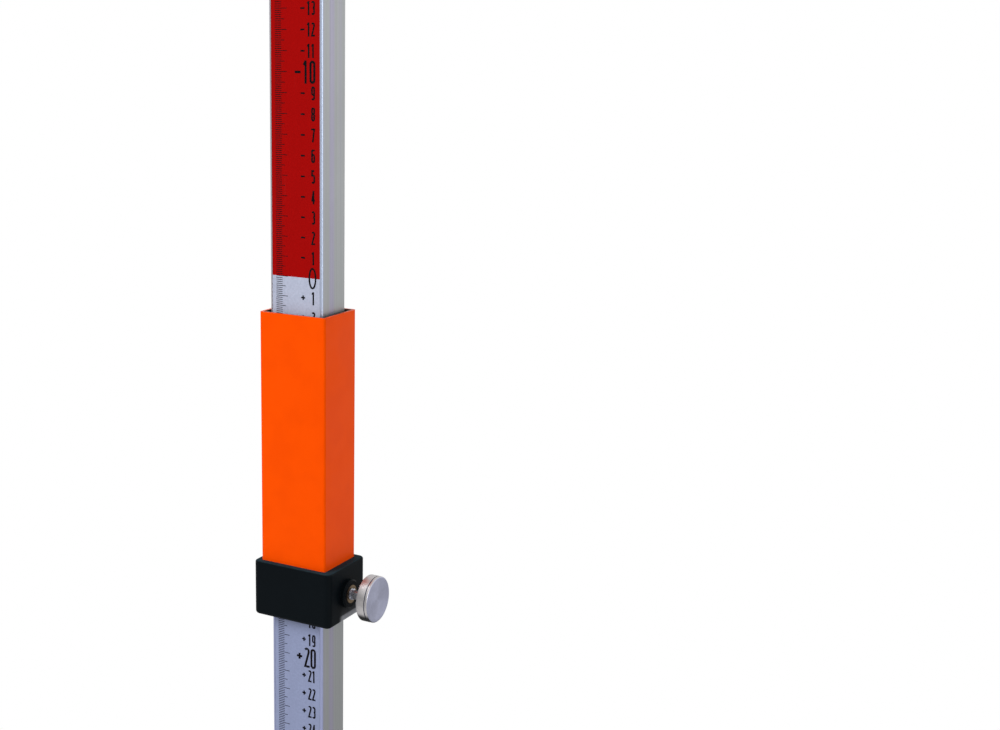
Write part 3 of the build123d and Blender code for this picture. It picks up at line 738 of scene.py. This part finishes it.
def numeral_lines(width, stroke):
    """Centre lines of the ten digits, one unit tall. Each digit is a list of lines."""
    radius = (width - stroke) / 2
    left, middle, right = stroke / 2, width / 2, width - stroke / 2
    base, top, waist = stroke / 2, 1 - stroke / 2, 0.53
    low, high = base + radius, top - radius
    under_waist, over_waist = waist - radius, waist + radius
    six_bowl = waist + stroke / 2 - radius
    slant_end = middle - stroke / 4
    flag_low, flag_high = 0.8, 0.94
    neck = high - 0.08
    post, peak, bar = width - stroke, 0.96, 0.27

    def bend(height, start, end, steps=6):
        """Arc about the digit's middle at a height, between two angles in degrees."""
        angles = [radians(start + (end - start) * step / steps) for step in range(steps + 1)]
        return [(middle + radius * cos(angle), height + radius * sin(angle)) for angle in angles]

    hook = bend(high, 160, 0)
    bowl = bend(low, 0, -160)
    over, under = bend(high, 180, 0), bend(low, 0, -180)
    six = [bend(high, 20, 180) + bend(low, 180, 360), [(right, low)] + bend(six_bowl, 0, 165)]
    return {
        "0": [over + under],
        "1": [[(middle, 0), (middle, 1)], [(left, flag_low), (slant_end, flag_high)]],
        "2": [hook + [(right, neck), (left, base), (width, base)]],
        "3": [hook + bend(over_waist, 0, -100), bend(under_waist, 80, 0) + bowl],
        "4": [[(post, peak), (left, bar), (width, bar)], [(post, 0), (post, 1)]],
        "5": [[(right, top), (left, top), (left, waist)], bend(six_bowl, 160, 0) + bowl],
        "6": six,
        "7": [[(0, top), (right, top), (slant_end, 0)]],
        "8": [over + bend(over_waist, 0, -180), bend(under_waist, 180, 0) + under],
        "9": [[(width - x, 1 - y) for x, y in line] for line in six],
    }


def stroke_edges(points, width, loop):
    """Left and right edges of a line of some width, mitred at its corners."""
    points = [Vector(point) for point in points]
    count = len(points)
    edges = []
    for index, point in enumerate(points):
        ahead = points[(index + 1) % count] - point if loop or index < count - 1 else None
        behind = point - points[index - 1] if loop or index else ahead
        ahead = (ahead or behind).normalized()
        behind = behind.normalized()
        along = (ahead + behind).normalized()
        across = Vector((-along.y, along.x))
        reach = width / 2 / max(MITRE_LIMIT, along.dot(ahead))
        edges.append((point + across * reach, point - across * reach))
    return edges


class Printer:
    """Draws thin closed solids of ink on the scale's face."""

    def __init__(self, layout):
        self.draft = bmesh.new()
        self.face = FILM_FRONT - layout.ink_proud
        self.root = FILM_FRONT + layout.ink_sunk
        self.layer = layout.ink_layer

    def line(self, points, width, loop=False, layers=0):
        """One line of ink along points (across, height), over some layers of other lines."""
        face = self.face - layers * self.layer
        rings = []
        for one, other in stroke_edges(points, width, loop):
            corners = ((one, face), (other, face), (other, self.root), (one, self.root))
            rings.append([self.draft.verts.new((spot.x, depth, spot.y)) for spot, depth in corners])
        join_rings(self.draft, rings, loop)

    def number(self, text, right, middle, height, width, stroke, gap):
        """A number that ends at the right. Width, stroke and gap are shares of its height."""
        lines = numeral_lines(width, stroke)
        pitch = (width + gap) * height
        start = right - pitch * len(text) + gap * height
        for index, digit in enumerate(text):
            left, base = start + index * pitch, middle - height / 2
            for layers, points in enumerate(lines[digit]):
                placed = [(left + x * height, base + y * height) for x, y in points]
                self.line(placed, stroke * height, digit in LOOPED_DIGITS, layers)

    def oval(self, across, middle, width, height, thickness, steps=36):
        """An oval ring."""
        wide, tall = (width - thickness) / 2, (height - thickness) / 2
        angles = [2 * pi * step / steps for step in range(steps)]
        points = [(across + wide * cos(angle), middle + tall * sin(angle)) for angle in angles]
        self.line(points, thickness, loop=True)

    def sign(self, plus, across, middle, width, thickness):
        """A minus sign, or a plus sign made of one bar and two short ones."""
        half = width / 2
        self.line([(across - half, middle), (across + half, middle)], thickness)
        if plus:
            for side in (-1, 1):
                near, far = middle + side * thickness / 2, middle + side * half
                self.line([(across, near), (across, far)], thickness)


def print_ticks(layout, name, direction, count, material):
    """Ticks for each millimetre, up from the zero mark with its own tick, or down without it."""
    printer = Printer(layout)
    for step in range(0 if direction > 0 else 1, count + 1):
        end = layout.millimetre_end
        if step % 10 == 0:
            end = layout.centimetre_end
        elif step % 5 == 0:
            end = layout.half_end
        height = ZERO_HEIGHT + direction * step * MM
        printer.line([(layout.tick_start, height), (end, height)], layout.tick_width)
    new_piece(name, printer.draft, material, "outer_section")


def print_numerals(layout, name, direction, count, material):
    """Numbers with their signs for each centimetre from the zero mark, up or down."""
    printer = Printer(layout)
    sizes = ("height", "right", "digit", "stroke", "sign", "sign_width")
    for mark in range(1, count // 10 + 1):
        middle = ZERO_HEIGHT + direction * mark * CM
        kind = "unit" if mark % 10 else "ten"
        tall, right, digit, stroke, sign, width = [getattr(layout, f"{kind}_{size}") for size in sizes]
        printer.number(str(mark), right, middle, tall, digit, stroke, layout.digit_gap)
        printer.sign(direction < 0, sign, middle, width, width * layout.sign_stroke)
    new_piece(name, printer.draft, material, "outer_section")


# Knob, studs and the vial's ring


def turned(axis, sections):
    """Closed mesh round a screw's axis. A section is a place along it and the radii round it there."""
    draft = bmesh.new()
    rings = []
    for x, radii in sections:
        angles = [2 * pi * side / len(radii) for side in range(len(radii))]
        spots = [(x, r * cos(a), axis + r * sin(a)) for r, a in zip(radii, angles)]
        rings.append([draft.verts.new(spot) for spot in spots])
    join_rings(draft, rings)
    return draft


def draw_knob(node, screw, knob, edge_steps=5, dish_steps=8):
    """Knob with a fine straight knurl, a grooved rim and a dished face, in its CAD node's space."""
    low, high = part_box(node)
    crest = (high.z - low.z) / 2
    root = crest - knob.knurl_depth
    knurl_start = low.x + knob.back_edge
    groove_face = high.x - knob.groove_drop
    groove_back = groove_face - knob.groove_width
    groove_floor = crest - knob.groove_depth
    groove_side = knob.groove_width / 3
    edge = knob.face_edge
    dished = root - edge - knob.lip
    profile = [
        (low.x + knob.socket_depth, knob.socket_radius),
        (low.x, knob.socket_radius),
        (low.x, root - knob.back_edge),
        (knurl_start, root),
        (knurl_start + knob.knurl_depth, crest),
        (groove_back - knob.knurl_depth, crest),
        (groove_back, root),
        (groove_back + groove_side, groove_floor),
        (groove_face - groove_side, groove_floor),
        (groove_face, root),
    ]
    for step in range(edge_steps + 1):
        angle = pi / 2 * step / edge_steps
        profile.append((high.x - edge + edge * sin(angle), root - edge + edge * cos(angle)))
    for step in range(dish_steps):
        reach = 1 - step / dish_steps
        profile.append((high.x - knob.dish * (1 - reach**2), dished * reach))
    sections = [(x, [limit, min(limit, root)] * knob.knurl_teeth) for x, limit in profile]
    return turned(SCREW_HEIGHTS[screw], sections)


def thread_radius(thread, shank, x, turn):
    """Radius of a right-hand thread at a place along it and a share of a turn round it."""
    ridge = abs(2 * ((x / thread.pitch - turn) % 1.0) - 1)
    flank = (ridge - thread.flat) / (1 - 2 * thread.flat)
    return shank - thread.depth * (1 - min(1.0, max(0.0, flank)))


def draw_stud(clamp, thread):
    """Stud with a thread and a plain neck by its knob, in its CAD node's space."""
    low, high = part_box(f"{clamp}_stud")
    neck_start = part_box(f"{clamp}_threaded_insert")[1].x + thread.neck_start
    neck_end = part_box(f"{clamp}_knob")[0].x - thread.neck_end
    shank = (high.y - low.y) / 2
    shoulder = low.x + thread.tip_length
    starts, ends = shoulder + thread.chamfer, high.x - thread.chamfer
    tip = shank - thread.tip_step
    count = int((ends - starts) / (thread.pitch / thread.steps_per_pitch))
    profile = [(low.x, tip), (shoulder, tip), (shoulder, shank - thread.chamfer)]
    profile += [(starts + index * (ends - starts) / count, shank) for index in range(count + 1)]
    profile.append((high.x, shank - thread.chamfer))

    turns = [side / thread.sides for side in range(thread.sides)]
    sections = []
    for x, limit in profile:
        radii = [limit] * thread.sides
        if neck_start < x < neck_end:
            radii = [shank - thread.neck_depth] * thread.sides
        elif x >= shoulder:
            radii = [min(limit, thread_radius(thread, shank, x, turn)) for turn in turns]
        sections.append((x, radii))
    return turned(SCREW_HEIGHTS[f"{clamp}_screw"], sections)


def draw_vial_ring(ring, sides=64):
    """Closed band of ink that follows the vial's dome."""
    low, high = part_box("vial_body")
    middle = (low + high) / 2
    ball = (ring.dome_radius**2 + ring.dome_rise**2) / (2 * ring.dome_rise)
    inner, outer = ring.radius - ring.width / 2, ring.radius + ring.width / 2
    corners = [(inner, ring.proud), (outer, ring.proud), (outer, -ring.proud), (inner, -ring.proud)]
    draft = bmesh.new()
    rings = []
    for side in range(sides):
        angle = 2 * pi * side / sides
        points = []
        for radius, proud in corners:
            height = high.z - ball + sqrt(ball**2 - radius**2) + proud
            spot = (middle.x + radius * cos(angle), middle.y + radius * sin(angle), height)
            points.append(draft.verts.new(spot))
        rings.append(points)
    join_rings(draft, rings, loop=True)
    return draft


# Stage

# Parts of a direction, upward and backward, between which the mirrored room turns dim
DIM_BELOW = (0.6, 0.25)
DIM_BEHIND = (-0.2, -0.6)
# Metres from the staff between which the mirrored floor turns to white, and its bright front fades
MIRRORED_FLOOR = (0.4, 9.0)
FRONT_END = (2.4, 1.5)
# Depths between which that front starts
FRONT_BLEND = (0.15, -0.15)
FLOOR_COLOUR = (0.86, 0.86, 0.86)
FLOOR_DROP = 0.1 * MM
LAMP_AIM = Vector((0.0, 0.0, 0.95))


def seen_directly(sheet):
    """1 for what the camera sees, straight, in a reflection or through glass."""
    rays = sheet.add("ShaderNodeLightPath").outputs
    straight = sheet.most(rays["Is Camera Ray"], rays["Is Glossy Ray"])
    return sheet.most(straight, rays["Is Transmission Ray"])


def make_world(stage):
    """Even light from all round, on white. Metal mirrors a dim room behind the camera."""
    world = bpy.data.worlds.new("studio")
    world.use_nodes = True
    bpy.context.scene.world = world
    sheet = Sheet(world.node_tree)
    background = world.node_tree.nodes["Background"].inputs
    level = sheet.spread(seen_directly(sheet), stage.ambient, 1.0)
    direction = sheet.parts(sheet.add("ShaderNodeTexCoord").outputs["Generated"])
    low = sheet.step(direction["Z"], *DIM_BELOW)
    behind_camera = sheet.step(direction["Y"], *DIM_BEHIND)
    room = sheet.spread(sheet.times(low, behind_camera), 1.0, stage.dim_mirrored)
    mirrored = sheet.add("ShaderNodeLightPath").outputs["Is Glossy Ray"]
    sheet.feed(background["Color"], WHITE)
    sheet.feed(background["Strength"], sheet.between(mirrored, level, room))


def floor_finish(stage):
    """Pale matt floor, plain white further out. Metal mirrors it dim, but bright in front."""
    finish = Finish("pale_floor", Base_Color=FLOOR_COLOUR, Roughness=0.9, Specular_IOR_Level=0.0)
    where = finish.where()
    away = finish.length(where)
    mirrored = finish.add("ShaderNodeLightPath").outputs["Is Glossy Ray"]
    seen = seen_directly(finish)
    level = finish.step(away, *MIRRORED_FLOOR, to_low=stage.floor_mirrored)
    in_front = finish.step(finish.parts(where)["Y"], *FRONT_BLEND, to_high=stage.front_mirrored)
    front_level = finish.times(in_front, finish.step(away, *FRONT_END))
    strength = finish.between(mirrored, 1.0, finish.most(level, front_level))
    glow = finish.add("ShaderNodeEmission", {"Color": WHITE, "Strength": strength}).outputs[0]
    far_out = finish.step(away, stage.shadow_start, stage.shadow_end)
    white = finish.times(finish.most(far_out, mirrored), seen)
    finish.set("Emission Color", finish.mix(seen, BLACK, [stage.floor_lift] * 3))
    finish.set("Emission Strength", 1.0)
    inputs = {0: white, 1: finish.shader.outputs[0], 2: glow}
    surface = finish.add("ShaderNodeMixShader", inputs).outputs[0]
    finish.feed(finish.tree.nodes["Material Output"].inputs["Surface"], surface)
    return finish.material


def make_floor(stage):
    """Round floor that keeps the staff's shadow and turns to the background's white further out."""
    draft = bmesh.new()
    bmesh.ops.create_circle(draft, cap_ends=True, segments=96, radius=stage.floor_radius)
    mesh = bpy.data.meshes.new("floor")
    draft.to_mesh(mesh)
    draft.free()
    mesh.materials.append(floor_finish(stage))
    floor = bpy.data.objects.new("floor", mesh)
    floor.location.z = -FLOOR_DROP
    bpy.context.scene.collection.objects.link(floor)


def make_lamp(stage, name, size, lights=True, mirrored=True):
    """Soft lamp that looks at the staff. It can light without being mirrored, or only be mirrored."""
    lamp = bpy.data.lights.new(name, "AREA")
    lamp.shape = "RECTANGLE"
    lamp.size, lamp.size_y = size
    lamp.energy = getattr(stage, f"{name}_power")
    holder = bpy.data.objects.new(name, lamp)
    holder.location = getattr(stage, f"{name}_place")
    holder.rotation_euler = (LAMP_AIM - holder.location).to_track_quat("-Z", "Y").to_euler()
    holder.visible_camera = False
    holder.visible_diffuse = lights
    holder.visible_glossy = mirrored
    bpy.context.scene.collection.objects.link(holder)


def make_camera(stage):
    """Camera at the photograph's place and angle."""
    data = bpy.data.cameras.new("camera")
    data.lens = stage.lens
    data.shift_x = stage.shift
    camera = bpy.data.objects.new("camera", data)
    turn = Matrix.Rotation(stage.yaw, 4, "Z") @ Matrix.Rotation(pi / 2 - stage.pitch, 4, "X")
    turn = turn @ Matrix.Rotation(stage.roll, 4, "Z")
    camera.matrix_world = Matrix.Translation(stage.camera_place) @ turn
    bpy.context.scene.collection.objects.link(camera)
    bpy.context.scene.camera = camera


# Operators


class StaffOperator:
    """What the staff's operators share."""

    bl_options = {"REGISTER", "UNDO"}


class STAFF_OT_tubes(StaffOperator, bpy.types.Operator):
    """Gives the two tubes their anodised finish"""

    bl_idname = "staff.tubes"
    bl_label = "Tubes"

    def execute(self, context):
        colours = context.scene.staff_colours
        rims = (colours.tube_rim, colours.tube_rim_left, colours.tube_rim_low)
        outer = aluminium_finish("outer_aluminium", colours.tube_side, colours.tube_streak, rims)
        inner = aluminium_finish("inner_aluminium", colours.inner_tube, colours.inner_streak)
        coat(outer, "outer_tube")
        coat(inner, "inner_tube")
        return {"FINISHED"}


class STAFF_OT_scale_strips(StaffOperator, bpy.types.Operator):
    """Gives the red and the silver strip their printed film"""

    bl_idname = "staff.scale_strips"
    bl_label = "Scale strips"

    def execute(self, context):
        colours = context.scene.staff_colours
        red, silver, lower = colours.red_film, colours.silver_film, colours.silver_lower
        reddish = (1.0, 0.2, 0.2)
        red_film = film_finish("scale_red", red, red, mottle=0.1, specular=0.06, specular_tint=reddish)
        silver_film = film_finish("scale_silver", silver, lower, mottle=0.22, specular=0.3)
        coat(red_film, "red_scale_strip")
        coat(silver_film, "silver_scale_strip")
        return {"FINISHED"}


class STAFF_OT_scale_print(StaffOperator, bpy.types.Operator):
    """Prints the ticks, numerals and zero of the scale"""

    bl_idname = "staff.scale_print"
    bl_label = "Scale print"

    def execute(self, context):
        layout = context.scene.staff_print
        ink = ink_finish(context.scene.staff_colours.ink)
        print_ticks(layout, "red_scale_ticks", 1, layout.red_ticks, ink)
        print_ticks(layout, "silver_scale_ticks", -1, layout.silver_ticks, ink)
        print_numerals(layout, "red_scale_numerals", 1, layout.red_ticks, ink)
        print_numerals(layout, "silver_scale_numerals", -1, layout.silver_ticks, ink)
        zero = Printer(layout)
        size = (layout.zero_width, layout.zero_height)
        zero.oval(layout.zero_middle, ZERO_HEIGHT, *size, layout.zero_line)
        new_piece("scale_zero", zero.draft, ink, "outer_section")
        return {"FINISHED"}


class STAFF_OT_carriage_sleeve(StaffOperator, bpy.types.Operator):
    """Gives the carriage's sleeve its orange powder coat"""

    bl_idname = "staff.carriage_sleeve"
    bl_label = "Carriage sleeve"

    def execute(self, context):
        colours = context.scene.staff_colours
        coat(powder_finish(colours.orange, colours.sleeve_bore), "carriage_sleeve")
        return {"FINISHED"}


class STAFF_OT_clamps(StaffOperator, bpy.types.Operator):
    """Gives the clamps, the cap and the grip knob their black plastic"""

    bl_idname = "staff.clamps"
    bl_label = "Clamps, cap and grip"

    def execute(self, context):
        colours = context.scene.staff_colours
        clamp = "carriage_clamp_body"
        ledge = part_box("carriage_sleeve")[0].z - LEDGE_DROP
        plastic = {"colour": colours.black, "specular": 0.05, "rough": 0.46}
        # Clamp with a dusting and painted sheen on its ledge, and a painted highlight along its lower
        # edge
        edge_lit = moulded_finish("scuffed_plastic", **plastic, dusting_and_sheen_share=0.8, ledge=ledge, edge_lit=clamp)
        black = moulded_finish("black_plastic", **plastic)
        fine = {"grains": 3600.0, "grain_depth": 0.01}
        grip = moulded_finish("knob_black", colours.grip, specular=0.16, rough=0.34, **fine)
        coat(edge_lit, clamp)
        coat(black, "carriage_top_guide", "lower_clamp_body", "top_cap")
        coat(grip, "lower_knob")
        return {"FINISHED"}


class STAFF_OT_bright_knob(StaffOperator, bpy.types.Operator):
    """Turns the carriage's metal knob, with its knurl and dished face"""

    bl_idname = "staff.bright_knob"
    bl_label = "Bright knob"

    def execute(self, context):
        node, screw = "carriage_knob", "carriage_screw"
        low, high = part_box(node)
        colours = context.scene.staff_colours
        sizes = context.scene.staff_knob
        groove = high.x - sizes.groove_drop - sizes.groove_width / 2
        rim = ((high.z - low.z) / 2, groove, colours.bright_rim)
        bright = turned_finish("knob_bright", colours.bright, screw, rough=0.34, grime=0.1, rim=rim)
        knob = new_piece("bright_knob", draw_knob(node, screw, sizes), bright, screw)
        smooth(knob, angle=30)
        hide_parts(node)
        return {"FINISHED"}


class STAFF_OT_studs(StaffOperator, bpy.types.Operator):
    """Cuts the threads of both studs and finishes their inserts"""

    bl_idname = "staff.studs"
    bl_label = "Studs and inserts"

    def execute(self, context):
        colours = context.scene.staff_colours
        for clamp in ("lower", "carriage"):
            screw, node = f"{clamp}_screw", f"{clamp}_stud"
            steel = turned_finish(f"{clamp}_stud_steel", colours.steel, screw, rough=0.24, grime=0.16)
            brass = turned_finish(f"{clamp}_insert_brass", colours.brass, screw, rough=0.26, grime=0.4)
            draft = draw_stud(clamp, context.scene.staff_thread)
            stud = new_piece(f"{clamp}_threaded_stud", draft, steel, screw)
            smooth(stud, angle=35)
            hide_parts(node)
            coat(brass, f"{clamp}_threaded_insert")
        return {"FINISHED"}


class STAFF_OT_runners(StaffOperator, bpy.types.Operator):
    """Gives the inner guide and the pads their natural plastic"""

    bl_idname = "staff.runners"
    bl_label = "Inner guide and pads"

    def execute(self, context):
        runner = runner_finish(context.scene.staff_colours.runner)
        coat(runner, "inner_top_guide", "lower_pressure_pad", "carriage_pressure_pad")
        return {"FINISHED"}


class STAFF_OT_foot(StaffOperator, bpy.types.Operator):
    """Gives the foot's sleeve and sole their finishes"""

    bl_idname = "staff.foot"
    bl_label = "Foot"

    def execute(self, context):
        colours = context.scene.staff_colours
        coarse = {"grains": 2200.0, "grain_depth": 0.03}
        sleeve = moulded_finish("foot_grey", colours.foot, specular=0.25, rough=0.52, **coarse)
        coarser = {"grains": 1500.0, "grain_depth": 0.05}
        sole = moulded_finish("sole_rubber", colours.sole, specular=0.12, rough=0.7, **coarser)
        coat(sleeve, "foot_sleeve")
        coat(sole, "foot_sole")
        return {"FINISHED"}


class STAFF_OT_fasteners(StaffOperator, bpy.types.Operator):
    """Gives the countersunk screws their blackened steel"""

    bl_idname = "staff.fasteners"
    bl_label = "Fasteners"

    def execute(self, context):
        dark = dark_screw_finish(context.scene.staff_colours.dark_steel)
        coat(dark, "foot_screws", "lower_clamp_fixings", "carriage_fixings")
        return {"FINISHED"}


class STAFF_OT_vial(StaffOperator, bpy.types.Operator):
    """Finishes the bubble vial and prints its ring"""

    bl_idname = "staff.vial"
    bl_label = "Vial"

    def execute(self, context):
        colours = context.scene.staff_colours
        coat(clear_finish(), "vial_body")
        coat(liquid_finish(colours.liquid), "vial_liquid")
        coat(moulded_finish("vial_white", colours.vial_white, specular=0.3, rough=0.4), "vial_base")
        ink = bpy.data.materials["scale_ink"]
        ring = draw_vial_ring(context.scene.staff_ring)
        new_piece("vial_ring", ring, ink, "outer_section")
        return {"FINISHED"}


class STAFF_OT_stage(StaffOperator, bpy.types.Operator):
    """Sets up the studio's floor, light and camera"""

    bl_idname = "staff.stage"
    bl_label = "Stage"

    def execute(self, context):
        stage = context.scene.staff_stage
        make_world(stage)
        make_floor(stage)
        make_lamp(stage, "key", size=(0.8, 1.1), mirrored=False)
        make_lamp(stage, "overhead", size=(0.5, 0.5), lights=False)
        make_lamp(stage, "fill", size=(0.8, 1.6))
        make_camera(stage)
        context.scene.view_settings.view_transform = "Standard"
        return {"FINISHED"}


OPERATORS = (
    STAFF_OT_tubes,
    STAFF_OT_scale_strips,
    STAFF_OT_scale_print,
    STAFF_OT_carriage_sleeve,
    STAFF_OT_clamps,
    STAFF_OT_bright_knob,
    STAFF_OT_studs,
    STAFF_OT_runners,
    STAFF_OT_foot,
    STAFF_OT_fasteners,
    STAFF_OT_vial,
    STAFF_OT_stage,
)
GROUPS = {
    "staff_print": ScalePrint,
    "staff_thread": StudThread,
    "staff_knob": BrightKnob,
    "staff_ring": VialRing,
    "staff_colours": StaffColours,
    "staff_stage": StaffStage,
}


class STAFF_PT_looks(bpy.types.Panel):
    """Lists the staff's operators and what they use"""

    bl_label = "Leveling staff"
    bl_idname = "STAFF_PT_looks"
    bl_space_type = "VIEW_3D"
    bl_region_type = "UI"
    bl_category = "Staff"

    def draw(self, context):
        for operator in OPERATORS:
            self.layout.operator(operator.bl_idname)
        for name, group in GROUPS.items():
            box = self.layout.box()
            for value in group.__annotations__:
                box.prop(getattr(context.scene, name), value)


def register():
    for kind in (*GROUPS.values(), *OPERATORS, STAFF_PT_looks):
        bpy.utils.register_class(kind)
    for name, group in GROUPS.items():
        setattr(bpy.types.Scene, name, bpy.props.PointerProperty(type=group))


def unregister():
    for name in GROUPS:
        delattr(bpy.types.Scene, name)
    for kind in (STAFF_PT_looks, *reversed(OPERATORS), *reversed(GROUPS.values())):
        bpy.utils.unregister_class(kind)


def main():
    register()
    bpy.ops.staff.tubes()
    bpy.ops.staff.scale_strips()
    bpy.ops.staff.scale_print()
    bpy.ops.staff.carriage_sleeve()
    bpy.ops.staff.clamps()
    bpy.ops.staff.bright_knob()
    bpy.ops.staff.studs()
    bpy.ops.staff.runners()
    bpy.ops.staff.foot()
    bpy.ops.staff.fasteners()
    bpy.ops.staff.vial()
    bpy.ops.staff.stage()


if __name__ == "__main__":
    main()
